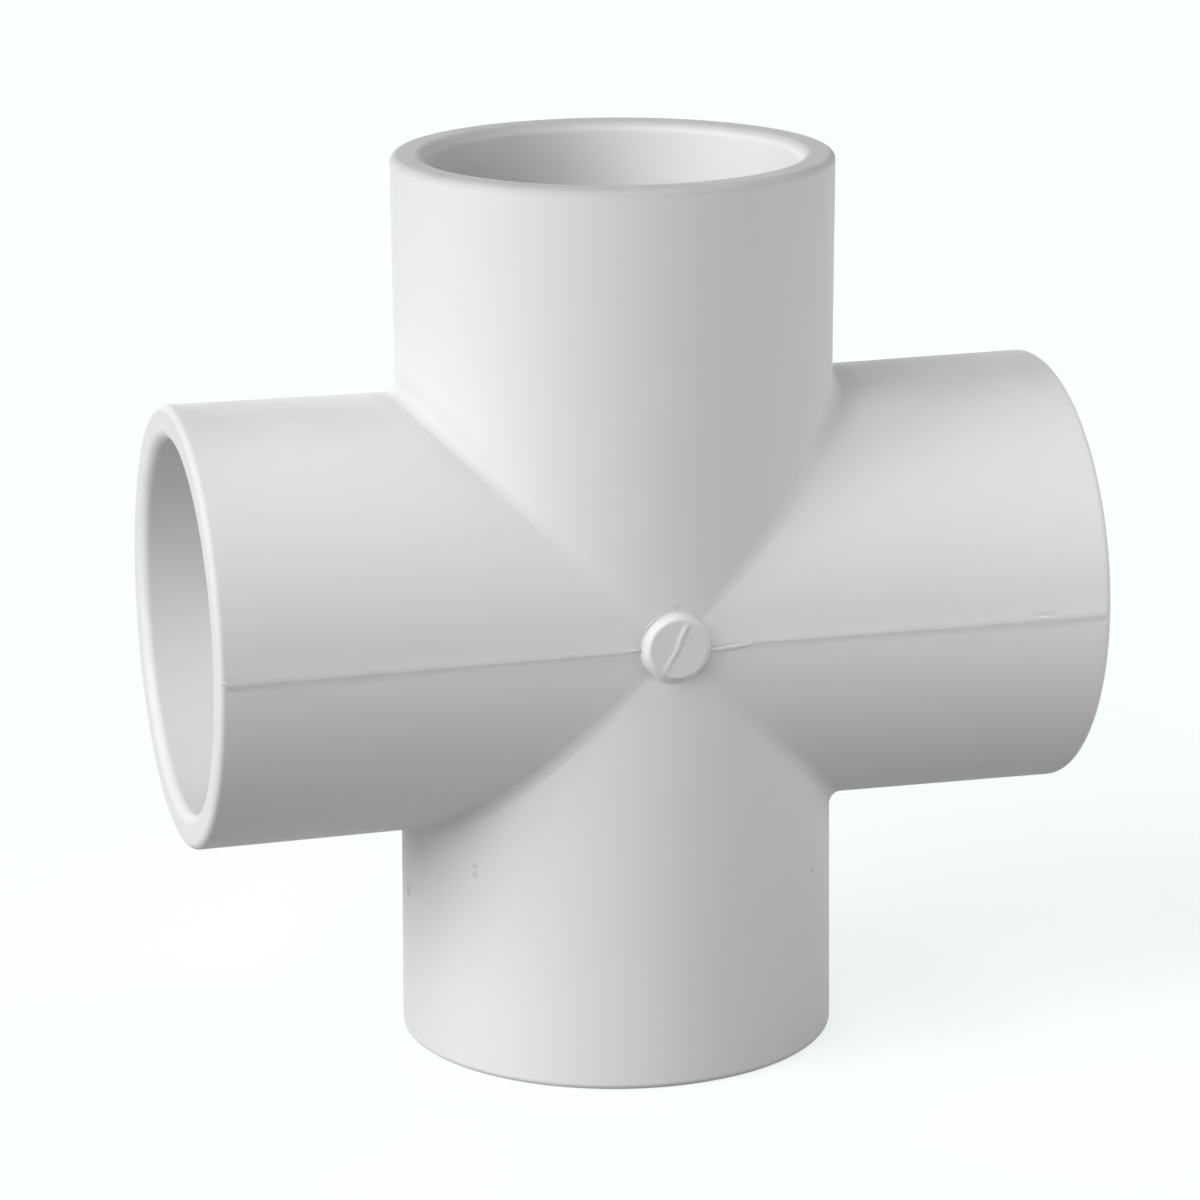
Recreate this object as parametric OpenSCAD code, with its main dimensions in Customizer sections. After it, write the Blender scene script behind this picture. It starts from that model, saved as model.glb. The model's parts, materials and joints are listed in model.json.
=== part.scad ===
// Cross fitting, four equal solvent-weld sockets, one PVC-U moulding.
//
// Frame: the origin is where the two runs cross. +Z goes up the vertical run,
// +X along the horizontal run to the right, and the gate pad faces -Y.
// The moulding is drawn as its four arms, which meet on the mitre planes where
// the equal barrels cross, and the gate pad seated on the front of the crossing.

/* [Sockets] */
// socket bore, the mean of the solvent-weld taper for a 48.3 mm pipe
socket_d = 48.35; // [32:0.05:72]
// how far a pipe goes in before it meets the stop
socket_depth = 31.5; // [20:0.5:50]
// wall round the socket at its mouth
socket_wall = 4.45; // [3.5:0.05:7]
// radius that rounds the inside edge of each mouth and leads the pipe in
entry_r = 1.4; // [0.5:0.1:2]
// radius that rounds the outside edge of each mouth
lip_r = 0.9; // [0.3:0.1:1.5]

/* [Pipe stops] */
// width of the ledge that a pipe's end meets, from the socket in to the waterway
stop_ledge = 3.25; // [1.5:0.05:5]
// how far a stop stands beyond the bore of the sockets that cross it
stop_land = 3.05; // [1:0.05:8]
// bevel on the inner edge of each ledge
stop_bevel = 0.6; // [0.2:0.1:1.2]

/* [Barrels] */
// draft on the outside of each barrel, which widens towards its mouth
draft_angle = 0.4; // [0:0.05:1.5]

/* [Crotches] */
// width of the fillet where two barrels meet, measured round its hollow
crotch_w = 2.7; // [1:0.1:5]

/* [Parting line] */
// height of the step that the upper mould half leaves over the lower one
parting_h = 0.11; // [0.05:0.01:0.3]
// width of the step's short side, which faces down
parting_step = 0.42; // [0.2:0.02:1]
// width of its long side, which runs out into the barrel above
parting_run = 1; // [0.5:0.1:3]

/* [Gate pad] */
// diameter of the gate pad where it leaves the barrel
pad_d = 9.5; // [5:0.1:14]
// height of the pad above the barrel
pad_h = 1.1; // [0.5:0.1:3]
// bevel round the pad's face
pad_bevel = 0.7; // [0.2:0.1:2]
// depth of the pad's seat in the wall
pad_seat = 0.8; // [0.4:0.1:2]
// length of the raised witness line that the gate leaves across the pad
witness_l = 7; // [3:0.1:12]
// width of the witness line at its foot
witness_w = 0.9; // [0.3:0.05:1.5]
// height of the witness line above the pad's face
witness_h = 0.2; // [0.1:0.05:1]
// lean of the witness line from the vertical
witness_lean = 23; // [0:1:90]

/* [Part] */
// which piece to draw

/* [Hidden] */
$fn = 128;
white = [0.86, 0.87, 0.87];
socket_r = socket_d / 2;
waterway_r = socket_r - stop_ledge;
// distance from the crossing to a pipe stop, and to a mouth
stop_z = socket_r + stop_land;
half_run = stop_z + socket_depth;
// outside radius of a barrel at its mouth, and where the runs cross
mouth_r = socket_r + socket_wall;
barrel_r = mouth_r - half_run * tan(draft_angle);
pad_r = pad_d / 2;
// how far a cutter runs past the face it cuts
past = 1;
// narrow cones in the rounded edges of a mouth
lip_steps = 6;
// stations along a crotch fillet, and facets across it, an odd number so that
// the mitre plane halves the middle one
crotch_stations = 32;
crotch_facets = 11;
// below the first angle between the barrels' faces the fillet keeps its radius
// and narrows, and below the second it is left out
crotch_narrow = 19;
crotch_fade = 8;
// how far the fillet's edges and its root are sunk into the barrels
crotch_bite = 0.02;
crotch_root = 0.5;
// where its two root points lie, as shares of the way from barrel to barrel
root_shares = [0.7, 0.3];
// width of the witness line's flat crest, as a share of its foot
crest = 0.3;
// how far the parting line and the witness line are rooted in what carries them
line_root = 0.3;
// how far the parting line's feet are sunk into the barrel
line_bite = 0.01;

// The unit vector a share of the way round from one unit vector to another.
function between(from, to, share) = let (whole = acos(from * to))
    (sin((1 - share) * whole) * from + sin(share * whole) * to) / sin(whole);

// The way from each barrel to a ball that rolls along the crotch and touches both,
// at the angle turn round the barrel: the upright barrel, then the lying one.
function upright_normal(turn) =
    [sin(turn) * cos(draft_angle), -cos(turn) * cos(draft_angle), -sin(draft_angle)];
function lying_normal(turn) =
    [-sin(draft_angle), -cos(turn) * cos(draft_angle), sin(turn) * cos(draft_angle)];

// Angle between the barrels' faces, and radius of the ball, whose arc from one
// barrel to the other keeps the same width along the crotch.
function spread(turn) = acos(upright_normal(turn) * lying_normal(turn));
function ball_r(turn) = crotch_w / (max(spread(turn), crotch_narrow) * PI / 180);

// Distance from a barrel's axis to the ball's centre, and where that centre is.
function ball_reach(turn) =
    (barrel_r + ball_r(turn) / cos(draft_angle)) / (1 - tan(draft_angle) * sin(turn));
function ball_centre(turn) = let (reach = ball_reach(turn))
    [reach * sin(turn), -reach * cos(turn), reach * sin(turn)];

// One cross-section of the fillet: its arc from barrel to barrel, whose two ends
// are sunk into them, and a root under the crease.
function crotch_section(turn) = let (
        centre = ball_centre(turn),
        from = upright_normal(turn),
        to = lying_normal(turn),
        r = ball_r(turn),
        crease = r / cos(spread(turn) / 2) + crotch_root
    ) concat(
        [for (i = [0 : crotch_facets]) let (
            bite = i == 0 || i == crotch_facets ? crotch_bite : 0
        ) centre - (r + bite) * between(from, to, i / crotch_facets)],
        [for (share = root_shares) centre - crease * between(from, to, share)]
    );

// The fillet of the crotch between +Z and +X, from front to back.
module crotch_fillet() {
    // turn at which the barrels' faces are crotch_fade apart
    first = acos(sqrt(cos(crotch_fade)));
    rows = [for (i = [0 : crotch_stations])
        crotch_section(first + (180 - 2 * first) * i / crotch_stations)];
    n = len(rows[0]);
    sides = [for (i = [0 : crotch_stations - 1], j = [0 : n - 1]) let (
            a = i * n + j,
            b = i * n + (j + 1) % n
        ) each [[b, a, b + n], [b + n, a, a + n]]];
    // each end is a fan from the last root point
    last = n - 1;
    far = crotch_stations * n;
    ends = [for (j = [0 : n - 3]) each [[last, j, j + 1], [far + last, far + j + 1, far + j]]];
    polyhedron(points = [for (row = rows) each row], faces = concat(sides, ends));
}

// A barrel from the crossing up to its mouth, with the mouth's edge rounded.
module barrel() {
    lip = [for (i = [0 : lip_steps]) let (a = 90 * i / lip_steps)
        [mouth_r - lip_r + lip_r * cos(a), half_run - lip_r + lip_r * sin(a)]];
    rotate_extrude()
        polygon(concat([[0, 0], [barrel_r, 0]], lip, [[0, half_run]]));
}

// How far a barrel's face falls away from its tangent plane at a distance along it.
function sag(along) = barrel_r - sqrt(barrel_r * barrel_r - along * along) + line_bite;

// The parting line on the front and the back of the barrel that runs up +Z.
// down is the side that the step faces, 1 for +X and -1 for -X.
module parting_line(down) {
    reach = (half_run - lip_r) / cos(draft_angle);
    foot = down * parting_step;
    far_foot = -down * parting_run;
    for (side = [0, 1])
        mirror([0, side, 0])
            translate([0, -barrel_r, 0])
                rotate([draft_angle, 0, 0])
                    linear_extrude(reach)
                        polygon([
                            [foot, line_root], [foot, sag(parting_step)], [0, -parting_h],
                            [far_foot, sag(parting_run)], [far_foot, line_root]
                        ]);
}

// Everything that the cores keep open: waterway, pipe stop, socket and rounded mouth.
module bore() {
    translate([0, 0, -past])
        cylinder(h = stop_z + 2 * past, r = waterway_r);
    translate([0, 0, stop_z - stop_bevel])
        cylinder(h = stop_bevel, r1 = waterway_r, r2 = waterway_r + stop_bevel);
    translate([0, 0, stop_z])
        cylinder(h = socket_depth + past, r = socket_r);
    entry = [for (i = [0 : lip_steps]) let (a = 180 - 90 * i / lip_steps)
        [socket_r + entry_r + entry_r * cos(a), half_run - entry_r + entry_r * sin(a)]];
    rotate_extrude()
        polygon(concat(
            [[0, half_run - entry_r]], entry,
            [[socket_r + entry_r, half_run + past], [0, half_run + past]]
        ));
}

// The seat that the gate pad takes up on the front of the crossing.
module pad_pocket() {
    rotate([90, 0, 0])
        translate([0, 0, barrel_r - pad_seat])
            cylinder(h = pad_seat + pad_h + past, r = pad_r);
}

// The space of one arm: everything nearer to its own run than to the other.
module mitre() {
    rotate([90, 0, 0])
        linear_extrude(2 * (mouth_r + past), center = true)
            polygon([[0, 0], [half_run + past, half_run + past], [-half_run - past, half_run + past]]);
}

// The halves of the horizontal parting line, whose step faces down on both.
module right_line() {
    rotate([0, 90, 0]) parting_line(down = 1);
}

module left_line() {
    rotate([0, 270, 0]) parting_line(down = -1);
}

// One arm: drawn pointing up, then turned about Y to where it belongs.
module arm(turn) {
    rotate([0, turn, 0])
        difference() {
            intersection() {
                union() {
                    barrel();
                    crotch_fillet();
                    mirror([1, 0, 0]) crotch_fillet();
                    if (turn != 270) rotate([0, -turn, 0]) right_line();
                    if (turn != 90) rotate([0, -turn, 0]) left_line();
                }
                mitre();
            }
            bore();
            pad_pocket();
        }
}

module top_socket() {
    color(white) arm(turn = 0);
}

module right_socket() {
    color(white) arm(turn = 90);
}

module bottom_socket() {
    color(white) arm(turn = 180);
}

module left_socket() {
    color(white) arm(turn = 270);
}

// The round pad over the injection gate, with the witness line across its face.
module gate_pad() {
    color(white)
        rotate([90, 0, 0])
            translate([0, 0, barrel_r - pad_seat]) {
                cylinder(h = pad_seat + pad_h - pad_bevel, r = pad_r);
                translate([0, 0, pad_seat + pad_h - pad_bevel])
                    cylinder(h = pad_bevel, r1 = pad_r, r2 = pad_r - pad_bevel);
                translate([0, 0, pad_seat + pad_h])
                    rotate([90, 0, -witness_lean])
                        linear_extrude(witness_l, center = true)
                            polygon([
                                [-witness_w / 2, -line_root], [-witness_w / 2, 0],
                                [-witness_w * crest / 2, witness_h], [witness_w * crest / 2, witness_h],
                                [witness_w / 2, 0], [witness_w / 2, -line_root]
                            ]);
            }
}

top_socket();
right_socket();
bottom_socket();
left_socket();
gate_pad();
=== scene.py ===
# %% [markdown]
# # A white cross fitting
#
# Four pipe sockets in one moulding of white PVC-U. The solid model gives the
# sizes, and this script gives the looks: the white plastic, the gate mark on the
# front, a floor, lamps and a camera. Run it cell by cell, from the top.

# %% Load the solid model
import json
import math

import bmesh
import bpy
from mathutils import Matrix, Vector


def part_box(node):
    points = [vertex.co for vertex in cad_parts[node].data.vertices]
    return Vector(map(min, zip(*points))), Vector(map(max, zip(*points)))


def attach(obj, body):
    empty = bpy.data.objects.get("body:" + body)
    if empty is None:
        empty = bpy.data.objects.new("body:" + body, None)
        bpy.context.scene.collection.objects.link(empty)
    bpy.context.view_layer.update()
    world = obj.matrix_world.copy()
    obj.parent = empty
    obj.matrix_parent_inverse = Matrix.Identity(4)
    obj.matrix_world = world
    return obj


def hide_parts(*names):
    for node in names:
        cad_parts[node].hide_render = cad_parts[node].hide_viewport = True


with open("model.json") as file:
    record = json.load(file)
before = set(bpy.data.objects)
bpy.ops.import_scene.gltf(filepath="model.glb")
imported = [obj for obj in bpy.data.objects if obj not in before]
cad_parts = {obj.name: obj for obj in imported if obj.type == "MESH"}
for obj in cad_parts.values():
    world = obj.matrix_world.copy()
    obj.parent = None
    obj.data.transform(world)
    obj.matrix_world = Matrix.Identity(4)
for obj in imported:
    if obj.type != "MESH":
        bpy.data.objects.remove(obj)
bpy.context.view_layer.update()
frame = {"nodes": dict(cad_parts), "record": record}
print("nodes:", ", ".join(sorted(frame["nodes"])))

# %% [markdown]
# ## Sizes
#
# Nothing is measured twice. The boxes of the nodes say where the mouths and the
# gate pad are, and the record of the part says how wide the sockets are.

# %% Read the sizes
MM = 0.001
ARMS = ["top_socket", "right_socket", "bottom_socket", "left_socket"]
mounts = {mount["name"]: mount for mount in frame["record"]["mounts"]}
half_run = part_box("top_socket")[1].z
mouth_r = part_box("top_socket")[1].y
socket_r = mounts["top_socket_bore"]["dims"]["r_mm"] * MM
pad_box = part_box("gate_pad")
pad_r = pad_box[1].x
pad_back = pad_box[1].y
# each barrel widens a little towards its mouth, and barrel_r is where the two cross
FLARE = math.tan(math.radians(0.4))
barrel_r = mouth_r - half_run * FLARE
print(f"run {2 * half_run / MM:.1f} mm, mouth {2 * mouth_r / MM:.1f} mm across")
print(f"socket {2 * socket_r / MM:.1f} mm, gate pad {2 * pad_r / MM:.1f} mm across")

# %% [markdown]
# ## Sums in a shader
#
# A material mixes patterns by arithmetic. Adding a Math node for each sum by hand
# is slow to read, so a small class wraps a socket and lets Python's own signs add
# the nodes: `1 - mask` works as well as `mask * 2`. A second class builds up the
# tree, and every node comes from its one method.

# %% A socket that can be added and multiplied


class Level:
    """One socket of a node tree, for use in Python expressions."""

    def __init__(self, graph, socket):
        self.graph = graph
        self.socket = socket

    def maths(self, operation, first, second=0.0):
        return self.graph.node("ShaderNodeMath", {"operation": operation}, {0: first, 1: second})

    def __add__(self, other):
        return self.maths("ADD", self, other)

    def __sub__(self, other):
        return self.maths("SUBTRACT", self, other)

    def __rsub__(self, other):
        return self.maths("SUBTRACT", other, self)

    def __mul__(self, other):
        return self.maths("MULTIPLY", self, other)

    def __abs__(self):
        return self.maths("ABSOLUTE", self)

    __radd__ = __add__
    __rmul__ = __mul__

    def larger(self, other):
        return self.maths("MAXIMUM", self, other)

    def smaller(self, other):
        return self.maths("MINIMUM", self, other)

    def root(self):
        return self.maths("SQRT", self)

    def ramp(self, low, high):
        """0 up to low, 1 from high on, and a smooth way between. It may also fall."""
        return self.graph.node(
            "ShaderNodeMapRange",
            {"interpolation_type": "SMOOTHSTEP"},
            {"Value": self, "From Min": low, "From Max": high},
        )


print("sockets take + - * and abs()")

# %% A tree of nodes
# a Mix node's colour sockets go by number, because its others have the same names
FIRST_COLOUR, SECOND_COLOUR, MIXED_COLOUR = 6, 7, 2


class Graph:
    """A node tree that is built up with node()."""

    def __init__(self, tree):
        self.tree = tree
        self.tree.nodes.clear()

    def node(self, kind, settings=None, inputs=None, output=0):
        """Adds a node: its settings first, then the values or links of its sockets."""
        made = self.tree.nodes.new(kind)
        for name, value in (settings or {}).items():
            setattr(made, name, value)
        for name, value in (inputs or {}).items():
            if isinstance(value, Level):
                self.tree.links.new(value.socket, made.inputs[name])
            else:
                made.inputs[name].default_value = value
        if output == "all":
            return [Level(self, socket) for socket in made.outputs]
        return Level(self, made.outputs[output]) if made.outputs else None

    def noise(self, place, scale, detail=2.0):
        """Soft noise from 0 to 1, with its scale in waves per metre."""
        inputs = {"Vector": place, "Scale": scale, "Detail": detail}
        return self.node("ShaderNodeTexNoise", None, inputs)

    def split(self, place):
        """The x, y and z of a place."""
        return self.node("ShaderNodeSeparateXYZ", None, {"Vector": place}, output="all")

    def vector(self, operation, first, second):
        """A sum of two vectors, such as SUBTRACT."""
        return self.node("ShaderNodeVectorMath", {"operation": operation}, {0: first, 1: second})

    def length(self, vector):
        return self.node("ShaderNodeVectorMath", {"operation": "LENGTH"}, {0: vector}, output="Value")

    def mix(self, share, first, second):
        """A colour between two colours."""
        inputs = {"Factor": share, FIRST_COLOUR: first, SECOND_COLOUR: second}
        return self.node("ShaderNodeMix", {"data_type": "RGBA"}, inputs, output=MIXED_COLOUR)


def material(name):
    """A new material and the graph of its nodes."""
    made = bpy.data.materials.new(name)
    made.use_nodes = True
    return made, Graph(made.node_tree)


print("trees are built with node()")

# %% [markdown]
# ## An even skin
#
# The solids arrive as many small flat triangles. The eye sees their edges in the
# round fillets, so the triangles are joined where they touch and shaded as one
# skin. Only edges with a real angle stay crisp. Joining them by hand would change
# the solid's mesh, so a few geometry nodes do it, and the shape stays as it was.

# %% Join and smooth the triangles
CRISP = math.radians(25)
TOUCHING = 0.002 * MM


def even_skin():
    tree = bpy.data.node_groups.new("even_skin", "GeometryNodeTree")
    for way in ("INPUT", "OUTPUT"):
        tree.interface.new_socket("Geometry", in_out=way, socket_type="NodeSocketGeometry")
    skin = Graph(tree)
    loose = skin.node("NodeGroupInput")
    joined = skin.node("GeometryNodeMergeByDistance", None, {"Geometry": loose, "Distance": TOUCHING})
    bare = skin.node("GeometryNodeRemoveAttribute", None, {"Geometry": joined, "Name": "custom_normal"})
    angle = skin.node("GeometryNodeInputMeshEdgeAngle")
    soft = skin.node("FunctionNodeCompare", {"operation": "LESS_THAN"}, {0: angle, 1: CRISP})
    faces = skin.node("GeometryNodeSetShadeSmooth", {"domain": "FACE"}, {0: bare, "Shade Smooth": True})
    edges = skin.node("GeometryNodeSetShadeSmooth", {"domain": "EDGE"}, {0: faces, "Shade Smooth": soft})
    skin.node("NodeGroupOutput", None, {0: edges})
    return tree


skin = even_skin()
for name in ARMS:
    node = frame["nodes"][name]
    node.modifiers.new("even_skin", "NODES").node_group = skin
    weights = node.modifiers.new("normals", "WEIGHTED_NORMAL")
    weights.mode = "FACE_AREA_WITH_ANGLE"
    weights.keep_sharp = True
print("even skin on", len(ARMS), "nodes")

# %% [markdown]
# ## Painted shade and dust
#
# A grey is painted on as shade over the face of the upper mouth and in the
# crotches, where it also takes down the glint on the fillets. Along the top of the
# lying arms it is painted shadow mixed with patchy dust.
#
# A painted picture would need the part to be unwrapped first, and it would blur
# close up. So the grey is a mask from 0 to 1, worked out from the place on the
# part: x runs along the lying barrel, y to the back and z up. Soft noise makes it
# patchy.

# %% Where the painted shade and the dust lie
# how far under the upper rim it starts, and where it is full
RIM_START, RIM_FULL = 1.2 * MM, 0.1 * MM
# in a crotch: how far beside the crease it ends, where it is full, and the distance
# from the middle of the part where it starts and is full
CROTCH_END, CROTCH_FULL = 5 * MM, 0.5 * MM
CROTCH_NEAR, CROTCH_FAR = 18 * MM, 25 * MM
# on a lying arm: the heights where it starts and is full, how far inside and outside
# of the upright barrel it comes in, and the patches in waves per metre
RIDGE_START, RIDGE_FULL = 25.0 * MM, 28.3 * MM
RIDGE_NEAR, RIDGE_FAR = 1 * MM, 3 * MM
RIDGE_PATCHES = 120
# how much of the plastic's own colour each of the three hides: painted shade on
# the rim and in the crotches, painted shadow and dust along the lying arms
RIM_SHADE, CROTCH_SHADE, RIDGE_SHADOW_AND_DUST = 0.60, 0.21, 0.16


def painted_shade_and_dust(pvc, place, cloud):
    x, _, z = pvc.split(place)
    # painted shade over the face of the upper mouth, a little patchy
    rim = z.ramp(half_run - RIM_START, half_run - RIM_FULL) * (cloud * 0.3 + RIM_SHADE)
    # painted shade in the crotches, which takes the glint on the fillets down
    crotch = abs(abs(x) - abs(z)).ramp(CROTCH_END, CROTCH_FULL)
    crotch = crotch * abs(x).smaller(abs(z)).ramp(CROTCH_NEAR, CROTCH_FAR)
    # painted shadow along the top of the lying arms, in patches like dust
    ridge = z.ramp(RIDGE_START, RIDGE_FULL)
    ridge = ridge * abs(x).ramp(mouth_r - RIDGE_NEAR, mouth_r + RIDGE_FAR)
    patches = pvc.noise(place, RIDGE_PATCHES, 2.0).ramp(0.30, 0.70)
    ridge = ridge * (patches * 0.6 + 0.4)
    return rim + crotch * CROTCH_SHADE + ridge * RIDGE_SHADOW_AND_DUST


# the rim and the crotches get painted shade, the lying arms painted shadow and dust
print("dust on the rim, in the crotches and along the lying arms")

# %% [markdown]
# ## Dirt and painted shadow
#
# A patchy dark line lies just under the parting line: a little dirt in its step,
# and painted shadow under it. Knocks have left single scuffs, painted shadows
# darken a few spots beside flash beads and just over the gate pad, and a few
# specks are burnt into the plastic. A noise pattern alone would put them
# anywhere, so the line is found by its place, and each spot has its own.

# %% A dark line under the parting line, and specks
# how far under the middle the dark line lies, and half its width, at its end and full
SEAM_DARK_DROP = 0.25 * MM
SEAM_DARK_END, SEAM_DARK_FULL = 0.6 * MM, 0.15 * MM
# beyond these shares of a mouth's radius a place is on the front or on the back
SKIN_START, SKIN_FULL = 0.97, 0.98
# patterns in waves per metre
SEAM_DARK_PATCHES = 170
SPECKS_SCALE = 420.0
SPECKS_PATCHES = 90


def seam_dirt_and_shadow(pvc, place):
    """Dirt and painted shadow under the parting line's step, on the front and the back of the lying
    barrel.
    """
    _, y, z = pvc.split(place)
    # painted shadow at the foot of the step, with a little dirt
    groove = abs(z + SEAM_DARK_DROP).ramp(SEAM_DARK_END, SEAM_DARK_FULL)
    groove = groove * abs(y).ramp(mouth_r * SKIN_START, mouth_r * SKIN_FULL)
    return groove * pvc.noise(place, SEAM_DARK_PATCHES, 3.0).ramp(0.45, 0.65)


def burnt_specks(pvc, place):
    """Specks, few and small."""
    inputs = {"Vector": place, "Scale": SPECKS_SCALE}
    specks = pvc.node("ShaderNodeTexVoronoi", None, inputs).ramp(0.06, 0.04)
    return specks * pvc.noise(place, SPECKS_PATCHES, 1.0).ramp(0.66, 0.74)


print("seam_dirt_and_shadow", 2 * SEAM_DARK_END / MM, "mm wide at most")

# %% Scuffs and painted shadows
# where each one is and its half length, width and height, in mm, and how dark it is
SCUFFS_AND_SHADOWS = [
    # painted shade in a thin line just over the gate pad
    ((0.1, -28.2, 5.4), (0.9, 1, 0.3), 0.20),
    # beside flash beads on the parting line: painted shadows on the left arm, a dark mark on the right
    ((49.4, -28.4, 0.84), (2.0, 1, 0.35), 0.20),
    ((-57.2, -28.4, 0.85), (1.6, 1, 0.35), 0.10),
    ((-56.8, -28.4, -0.65), (1.6, 1, 0.45), 0.14),
    # marks on the lower arm
    ((-28.4, 0.0, -38.3), (0.5, 1.2, 0.9), 0.45),
    ((-23.4, -16.1, -30.4), (0.5, 0.5, 0.35), 0.35),
    ((-23.4, -16.1, -31.5), (0.5, 0.5, 0.45), 0.30),
    ((21.4, -18.7, -34.3), (0.6, 0.6, 0.35), 0.30),
]
# how fine their ragged edges are, in waves per metre
RAGS = 2500
# where a mark ends and where it is full, as shares of its size
MARK_END, MARK_FULL = 1.2, 0.3


def scuffs_and_shadows(pvc, place):
    """A mask of the scuffed spots and the painted shadows, each with a ragged edge."""
    ragged = pvc.noise(place, RAGS, 1.0) * 0.8 + 0.6
    dark = 0.0
    for centre, size, strength in SCUFFS_AND_SHADOWS:
        away = pvc.vector("SUBTRACT", place, Vector(centre) * MM)
        share = pvc.vector("DIVIDE", away, Vector(size) * MM)
        dark = (pvc.length(share) * ragged).ramp(MARK_END, MARK_FULL) * strength + dark
    return dark


print(len(SCUFFS_AND_SHADOWS), "scuffs_and_shadows")

# %% [markdown]
# ## White PVC
#
# The plastic is the same all through, white with a trace of grey, and satin from
# the mould. Looked at closely it isn't even. Its colour drifts along the flow from
# the gate, the steel has left a very fine grain, handling has dulled the lips, and
# the polished cores have left the sockets smoother than the outside.
#
# One material could be made for the outside and one for the sockets, but a seam
# would show between them. Here one material does it all: the masks are added up in
# its colour, its roughness and its bump.

# %% The lips and the sockets
WORN_LIP = 1.6 * MM
# how far outside the socket's wall its smooth finish ends, and where it is full
CORE_END, CORE_FULL = 1.6 * MM, 0.4 * MM


def worn_lip(pvc, place):
    """1 at the rim of each mouth, which is the end of a run."""
    x, _, z = pvc.split(place)
    return abs(x).larger(abs(z)).ramp(half_run - WORN_LIP, half_run)


def in_socket(pvc, place):
    """1 inside a socket or the waterway, by the distance from the nearer axis."""
    x, y, z = pvc.split(place)
    across = abs(x).smaller(abs(z))
    axis = (across * across + y * y).root()
    return axis.ramp(socket_r + CORE_END, socket_r + CORE_FULL)


print("lips worn over", WORN_LIP / MM, "mm")

# %% The white plastic
PVC_WHITE = (0.80, 0.805, 0.80, 1)
PVC_SHADE = (0.77, 0.78, 0.785, 1)
# a dark grey for the dirt, the specks and the painted shadows
DIRT_AND_SHADOW_GREY = (0.40, 0.39, 0.37, 1)
# a grey for painted shade, and for the dust along the lying arms
DUST_AND_SHADE = (0.46, 0.47, 0.468, 1)
# how dark the dirt and painted shadow under the parting line, the specks and the
# worn lips are
SEAM_DIRT_AND_SHADOW, SPECK_DIRT, LIP_DIRT = 0.10, 0.45, 0.03
# its roughness, how much the worn lips add, and how much the sockets take away
SATIN, LIP_ROUGHER, SOCKET_SMOOTHER = 0.50, 0.12, 0.10
PVC_IOR = 1.53
PVC_GLOSS = 0.3
# patterns in waves per metre, from wide to fine
DRIFT, RIPPLE, CLOUD, GRAIN = 38, 120, 140, 900
# how deep the mould's ripple and grain and the specks are
RIPPLE_H, GRAIN_H, SPECK_H = 0.03 * MM, 0.006 * MM, 0.02 * MM


def white_pvc():
    made, pvc = material("white_pvc")
    place = pvc.node("ShaderNodeTexCoord", output="Object")
    drift = pvc.noise(place, DRIFT, 3.0)
    cloud = pvc.noise(place, CLOUD, 2.0)
    lip = worn_lip(pvc, place)
    specks = burnt_specks(pvc, place)
    # the plastic itself, then the painted shade and dust on it, then the dirt, specks
    # and painted shadows
    clean = pvc.mix(drift * 0.7 + cloud * 0.3, PVC_WHITE, PVC_SHADE)
    shaded_and_dusty = pvc.mix(painted_shade_and_dust(pvc, place, cloud), clean, DUST_AND_SHADE)
    dirt_and_shadows = seam_dirt_and_shadow(pvc, place) * SEAM_DIRT_AND_SHADOW + specks * SPECK_DIRT
    dirt_and_shadows = dirt_and_shadows + scuffs_and_shadows(pvc, place) + lip * cloud * LIP_DIRT
    roughness = drift * 0.10 + cloud * 0.06 + SATIN
    roughness = roughness + lip * LIP_ROUGHER - in_socket(pvc, place) * SOCKET_SMOOTHER
    height = pvc.noise(place, GRAIN, 4.0) * GRAIN_H + pvc.noise(place, RIPPLE, 2.0) * RIPPLE_H
    height = height - specks * SPECK_H
    bump = pvc.node("ShaderNodeBump", None, {"Height": height, "Distance": 1.0, "Strength": 0.6})
    shader = pvc.node(
        "ShaderNodeBsdfPrincipled",
        None,
        {
            "Base Color": pvc.mix(dirt_and_shadows, shaded_and_dusty, DIRT_AND_SHADOW_GREY),
            "Roughness": roughness,
            "IOR": PVC_IOR,
            "Specular IOR Level": PVC_GLOSS,
            "Normal": bump,
        },
    )
    pvc.node("ShaderNodeOutputMaterial", None, {"Surface": shader})
    return made


plastic = white_pvc()
for name in ARMS:
    for slot in frame["nodes"][name].material_slots:
        slot.material = plastic
print("white PVC on", len(ARMS), "arms")

# %% [markdown]
# ## The gate pad
#
# The plastic came in through a gate in the middle of the front. There the steel
# leaves a low round pad, and the gate is broken off across it, which leaves a
# soft, leaning witness line. The solid model has the pad with plain edges, and
# this piece stands in for it with soft and slightly uneven ones.
#
# A displacement map would want a dense mesh all over. Here a profile is spun round
# the pad's axis. It crosses the face in many narrow rings, so that the witness line
# can be pushed up out of them, and the edge is then fitted to the barrels' skin.

# %% Spin the pad
PAD_H = 0.9 * MM
EDGE_W = 1.1 * MM
FACE_R = pad_r - EDGE_W
FACE_RINGS = 28
EDGE_RINGS = 12
PAD_STEPS = 128
# points closer than this are made one, which closes the two poles
SAME_POINT = 0.001 * MM


def softened(step):
    """The pad's edge from its face down to the barrel: radius and height."""
    share = step / EDGE_RINGS
    return (FACE_R + (pad_r - FACE_R) * share, PAD_H * (0.5 + 0.5 * math.cos(math.pi * share)))


profile = [(FACE_R * ring / FACE_RINGS, PAD_H) for ring in range(FACE_RINGS)]
profile += [softened(step) for step in range(EDGE_RINGS + 1)]
profile += [(pad_r, -barrel_r - pad_back), (0.0, -barrel_r - pad_back)]

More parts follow.
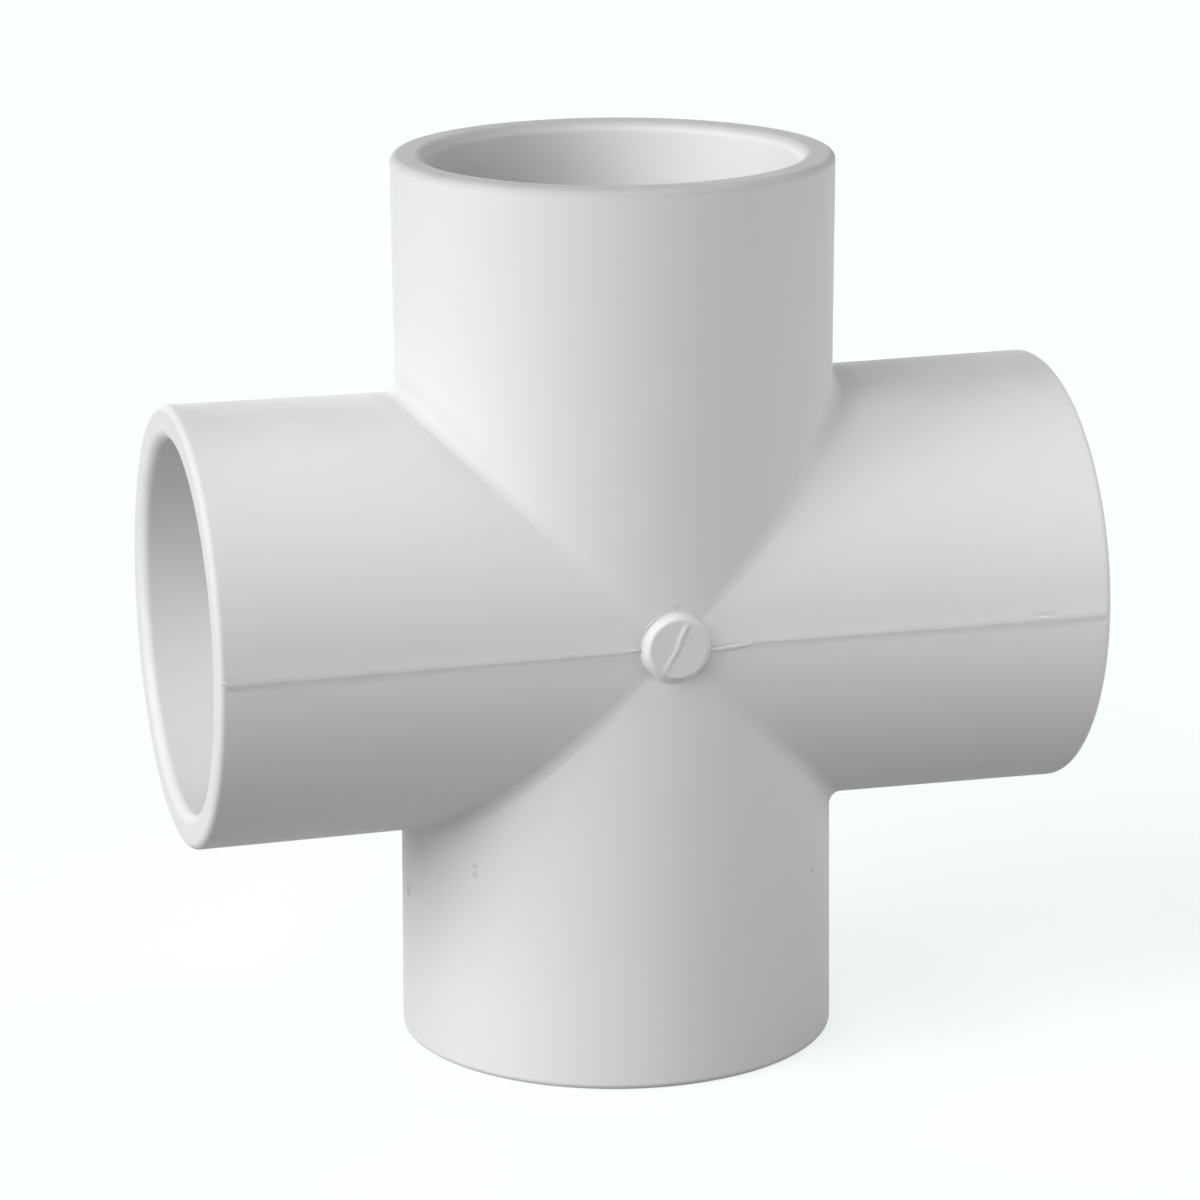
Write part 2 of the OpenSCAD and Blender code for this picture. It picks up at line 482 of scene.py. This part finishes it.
shape = bmesh.new()
corners = [shape.verts.new((radius, -barrel_r - height, 0)) for radius, height in profile]
edges = [shape.edges.new(pair) for pair in zip(corners, corners[1:])]
bmesh.ops.spin(
    shape,
    geom=corners + edges,
    cent=(0, 0, 0),
    axis=(0, 1, 0),
    angle=2 * math.pi,
    steps=PAD_STEPS,
    use_merge=True,
)
bmesh.ops.remove_doubles(shape, verts=shape.verts, dist=SAME_POINT)
bmesh.ops.recalc_face_normals(shape, faces=shape.faces)
print("spun pad:", len(shape.verts), "points")

# %% The skin under the pad and the line across it
# the witness line, in mm: half its width, half its length, its height, and over
# what length its ends fade
LINE_W, LINE_L, LINE_H, LINE_FADE = 0.55, 3.4, 0.2, 0.7
# its lean as a slope, about that slope's cosine, and how far left of the middle it is
LINE_SLOPE, LINE_COS, LINE_LEFT = 0.48, 0.9, 0.30
# how far it bends to the right in the middle, and how long that bend is
BEND, BEND_L = 0.25, 0.9
# the share of its height that it has half way up, and what each mm above adds
LINE_SHARE, LINE_GAIN = 0.60, 0.10


def skin_at(x, z):
    """How far forward the barrels reach at a place on the front."""
    upright = (barrel_r + abs(z) * FLARE) ** 2 - x**2
    lying = (barrel_r + abs(x) * FLARE) ** 2 - z**2
    return -math.sqrt(max(upright, lying))


def witness(x, z):
    """Height of the witness line at a place on the pad's face, in mm."""
    bend = BEND * math.exp(-((z / BEND_L) ** 2))
    off = (x - LINE_SLOPE * z + LINE_LEFT - bend) * LINE_COS
    if abs(off) > LINE_W:
        return 0.0
    ends = max(0.0, min(1.0, (LINE_L - abs(z)) / LINE_FADE))
    crest = 0.5 + 0.5 * math.cos(math.pi * off / LINE_W)
    return LINE_H * ends * (LINE_SHARE + LINE_GAIN * z) * crest


print(f"skin {skin_at(0, 0) / MM:.2f} mm, line {witness(0, 0):.2f} mm high in the middle")

# %% Fit the edge and raise the line
# how far the face is off the middle, how uneven the edge is, and how far it stays
# over the barrels, so that no gap or flicker shows
FACE_SHIFT = Vector((0.15, 0, 0.05)) * MM
WOBBLE = 0.12 * MM
PROUD = 0.02 * MM
# a point at this share of the pad's height is on its face
ON_FACE = 0.999

for corner in shape.verts:
    share = (-barrel_r - corner.co.y) / PAD_H
    if share < 0:
        continue
    # the edge runs down to the barrels, which fall away between their tips
    corner.co.y += (skin_at(corner.co.x, corner.co.z) + barrel_r - PROUD) * (1 - share)
    # it isn't quite round, where the gate was broken off
    turn = math.atan2(corner.co.z, corner.co.x)
    waves = (2 + math.sin(3 * turn + 1) + math.sin(7 * turn)) / 4
    dent = WOBBLE * math.sin(math.pi * min(1.0, share)) * waves
    corner.co.x *= 1 - dent / pad_r
    corner.co.z *= 1 - dent / pad_r
    corner.co += FACE_SHIFT * share
    if share > ON_FACE:
        corner.co.y -= witness(corner.co.x / MM, corner.co.z / MM) * MM
print(f"front of the pad at {min(corner.co.y for corner in shape.verts) / MM:.2f} mm")

# %% Finish the pad
# on the small pieces, edges with at least this angle stay crisp
SHARP = math.radians(60)


def piece(name, shape):
    """A finished mesh as an object that rides on the part."""
    for side in shape.faces:
        side.smooth = True
    for edge in shape.edges:
        edge.smooth = edge.calc_face_angle(0.0) < SHARP
    mesh = bpy.data.meshes.new(name)
    shape.to_mesh(mesh)
    shape.free()
    made = bpy.data.objects.new(name, mesh)
    bpy.context.scene.collection.objects.link(made)
    mesh.materials.append(plastic)
    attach(made, "root")
    return made


pad = piece("gate_pad_worn", shape)
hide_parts("gate_pad")
print("gate pad:", len(pad.data.polygons), "faces")

# %% [markdown]
# ## Flash on the parting line
#
# Where the mould halves didn't close quite tight, beads of flash stand on the
# parting line: one on each side of the pad, where the plastic was hottest, and
# a few small ones further out. A bevel along the line would be too regular, so
# each bead is a slim ball half sunk in the barrel.

# %% Beads of flash
# middle and length along the barrel, width, thickness and height over the line, in
# mm, and how many degrees it leans
BEADS = [
    (-5.7, 2.8, 0.55, 0.36, 0.10, 0),
    (7.4, 6.6, 0.75, 0.44, -0.40, 5),
    (-57.2, 2.4, 0.55, 0.26, 0.10, 0),
    (-34.5, 1.5, 0.50, 0.26, 0.20, 0),
    (49.6, 3.6, 0.60, 0.36, 0.15, 0),
]
# how far a bead's middle is under the barrel's skin
SUNK = 0.03 * MM

shape = bmesh.new()
for middle, length, width, thick, over, lean in BEADS:
    x, z = middle * MM, over * MM
    place = Matrix.Translation((x, skin_at(x, z) + SUNK, z))
    leaning = Matrix.Rotation(math.radians(-lean), 4, "Y")
    size = Matrix.Diagonal((length / 2 * MM, thick / 2 * MM, width / 2 * MM, 1))
    bmesh.ops.create_uvsphere(
        shape, u_segments=32, v_segments=16, radius=1, matrix=place @ leaning @ size
    )
bmesh.ops.recalc_face_normals(shape, faces=shape.faces)
flash = piece("parting_flash", shape)
print("flash:", len(BEADS), "beads,", len(flash.data.polygons), "faces")

# %% [markdown]
# ## Floor and sky
#
# The fitting stands on its lower mouth on a pale floor that runs out of sight. To
# the camera, and in reflections, floor and sky glow nearly white. A white floor
# that also lit the part would flatten its shape, so to light that bounces about the
# floor is dull and the sky is dark. The floor still takes the part's shadow.

# %% The floor
FLOOR_SIDE = 40.0
NEARLY_WHITE = (0.939, 0.982, 0.991, 1)
# the floor's grey to bounced light and to the camera, where the glow comes on top
FLOOR_DULL = (0.35, 0.35, 0.35, 1)
FLOOR_SHADE = (0.22, 0.22, 0.22, 1)
FLOOR_GLOW = 0.845
floor_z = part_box("bottom_socket")[0].z


def seen(graph):
    """1 for what the camera sees, straight or in a reflection or through glass."""
    straight = graph.node("ShaderNodeLightPath", output="Is Camera Ray")
    mirrored = graph.node("ShaderNodeLightPath", output="Is Glossy Ray")
    through = graph.node("ShaderNodeLightPath", output="Is Transmission Ray")
    return straight + mirrored + through


shape = bmesh.new()
bmesh.ops.create_grid(shape, x_segments=1, y_segments=1, size=FLOOR_SIDE / 2)
bmesh.ops.translate(shape, vec=(0, 0, floor_z), verts=shape.verts)
mesh = bpy.data.meshes.new("floor")
shape.to_mesh(mesh)
shape.free()
floor = bpy.data.objects.new("floor", mesh)
bpy.context.scene.collection.objects.link(floor)

floor_paint, pale = material("pale_floor")
dull = pale.node("ShaderNodeBsdfDiffuse", None, {"Color": FLOOR_DULL})
shade = pale.node("ShaderNodeBsdfDiffuse", None, {"Color": FLOOR_SHADE})
glow = pale.node("ShaderNodeEmission", None, {"Color": NEARLY_WHITE, "Strength": FLOOR_GLOW})
both = pale.node("ShaderNodeAddShader", None, {0: shade, 1: glow})
mixed = pale.node("ShaderNodeMixShader", None, {0: seen(pale), 1: dull, 2: both})
pale.node("ShaderNodeOutputMaterial", None, {"Surface": mixed})
mesh.materials.append(floor_paint)
print("floor at", round(floor_z, 4))

# %% The sky
SKY_LIGHT = 0.0
SKY_GLOW = 1.0
world = bpy.data.worlds.new("studio")
bpy.context.scene.world = world
world.use_nodes = True
sky = Graph(world.node_tree)
dark = sky.node("ShaderNodeBackground", None, {"Color": (1, 1, 1, 1), "Strength": SKY_LIGHT})
bright = sky.node("ShaderNodeBackground", None, {"Color": NEARLY_WHITE, "Strength": SKY_GLOW})
mixed = sky.node("ShaderNodeMixShader", None, {0: seen(sky), 1: dark, 2: bright})
sky.node("ShaderNodeOutputWorld", None, {"Surface": mixed})
print("sky lights with", SKY_LIGHT, "and glows with", SKY_GLOW)

# %% [markdown]
# ## Lamps
#
# Soft studio light. Most of it comes from the left and a little from above, from
# sun lamps, which are so far away that they light the whole part alike. One lamp
# would leave the other side black, so several share the work. On the right a round
# area lamp stands close by, as a soft box does, and its light fades across the
# part. A low lamp behind keeps the back from going dark, and it hardly touches the
# front.

# %% Lamps on stands
SPREAD = math.radians(30)
# a sun lamp of this strength shows a surface that faces it in its own colour
SQUARE_ON = math.pi
SOFT_BOX_WIDTH = 0.15


def towards(azimuth, elevation):
    """The way from the crossing to a place round it, as for a camera."""
    a, e = math.radians(azimuth), math.radians(elevation)
    return Vector((math.sin(a) * math.cos(e), -math.cos(a) * math.cos(e), math.sin(e)))


def stand(lamp, way, distance=1.0):
    """Puts a lamp on its stand, turned to the crossing."""
    made = bpy.data.objects.new(lamp.name, lamp)
    made.rotation_mode = "QUATERNION"
    made.rotation_quaternion = way.to_track_quat("Z", "Y")
    made.location = way * distance
    bpy.context.scene.collection.objects.link(made)
    return made


def far_lamp(name, azimuth, elevation, level):
    lamp = bpy.data.lights.new(name, "SUN")
    lamp.angle = SPREAD
    lamp.energy = level * SQUARE_ON
    return stand(lamp, towards(azimuth, elevation))


def soft_box(name, azimuth, elevation, level, distance):
    """A round lamp close by, whose light fades across the part."""
    lamp = bpy.data.lights.new(name, "AREA")
    lamp.shape = "DISK"
    lamp.size = SOFT_BOX_WIDTH
    # its power is all the light it gives, which thins out with distance
    lamp.energy = level * SQUARE_ON * math.pi * distance**2
    made = stand(lamp, towards(azimuth, elevation), distance)
    made.visible_camera = False
    return made


print("lamps spread", round(math.degrees(SPREAD)), "degrees")

# %% Switch them on
for name, azimuth, elevation, level in [
    ("key", -40, 25, 0.232),
    ("key_side", -80, 25, 0.45),
    ("key_high", -60, 50, 0.285),
    ("key_low", -80, 3, 0.19),
    ("fill", 80, 3, 0.10),
    ("top", 0, 89, 0.075),
    ("top_back", 120, 72, 0.12),
]:
    far_lamp(name, azimuth, elevation, level)
back_lamp = far_lamp("back", 180, 3, 0.80)
near_fill = soft_box("near_fill", 60, 10, 0.277, 0.3)
# these two would gleam as a white line along the top and as a spot on the front
for plain in (back_lamp, near_fill):
    plain.visible_glossy = False
# the soft box would also leave a bright pool on the floor
unlit = bpy.data.collections.new("unlit")
unlit.objects.link(floor)
unlit.collection_objects[0].light_linking.link_state = "EXCLUDE"
near_fill.light_linking.receiver_collection = unlit
print("lamps on:", len(bpy.data.lights))

# %% [markdown]
# ## Camera
#
# It looks from the front, a little from the left and from above. Close up, a short
# lens would make the near mouths look larger than the far ones, so the camera
# stands further off and has a long lens.

# %% The camera
LENS = 142.67
SENSOR_WIDTH = 36
AZIMUTH, ELEVATION = -15.915, 14.713
ROLL = math.radians(-0.312)
DISTANCE = 0.62555
# it looks at a place this far to the left of the crossing, and this far under it
AIM_LEFT, AIM_UNDER = 1.9 * MM, 0.8 * MM

back = towards(AZIMUTH, ELEVATION)
right = Vector((0, 0, 1)).cross(back).normalized()
up = back.cross(right)
aim = -(right * AIM_LEFT + up * AIM_UNDER)
lens = bpy.data.cameras.new("camera")
lens.lens = LENS
lens.sensor_width = SENSOR_WIDTH
camera = bpy.data.objects.new("camera", lens)
camera.location = back * DISTANCE
look = camera.location - aim
rolled = Matrix.Rotation(ROLL, 3, look).to_quaternion()
camera.rotation_mode = "QUATERNION"
camera.rotation_quaternion = rolled @ look.to_track_quat("Z", "Y")
bpy.context.scene.collection.objects.link(camera)
bpy.context.scene.camera = camera
bpy.context.scene.view_settings.view_transform = "Standard"
print("camera at", [round(value, 3) for value in camera.location])
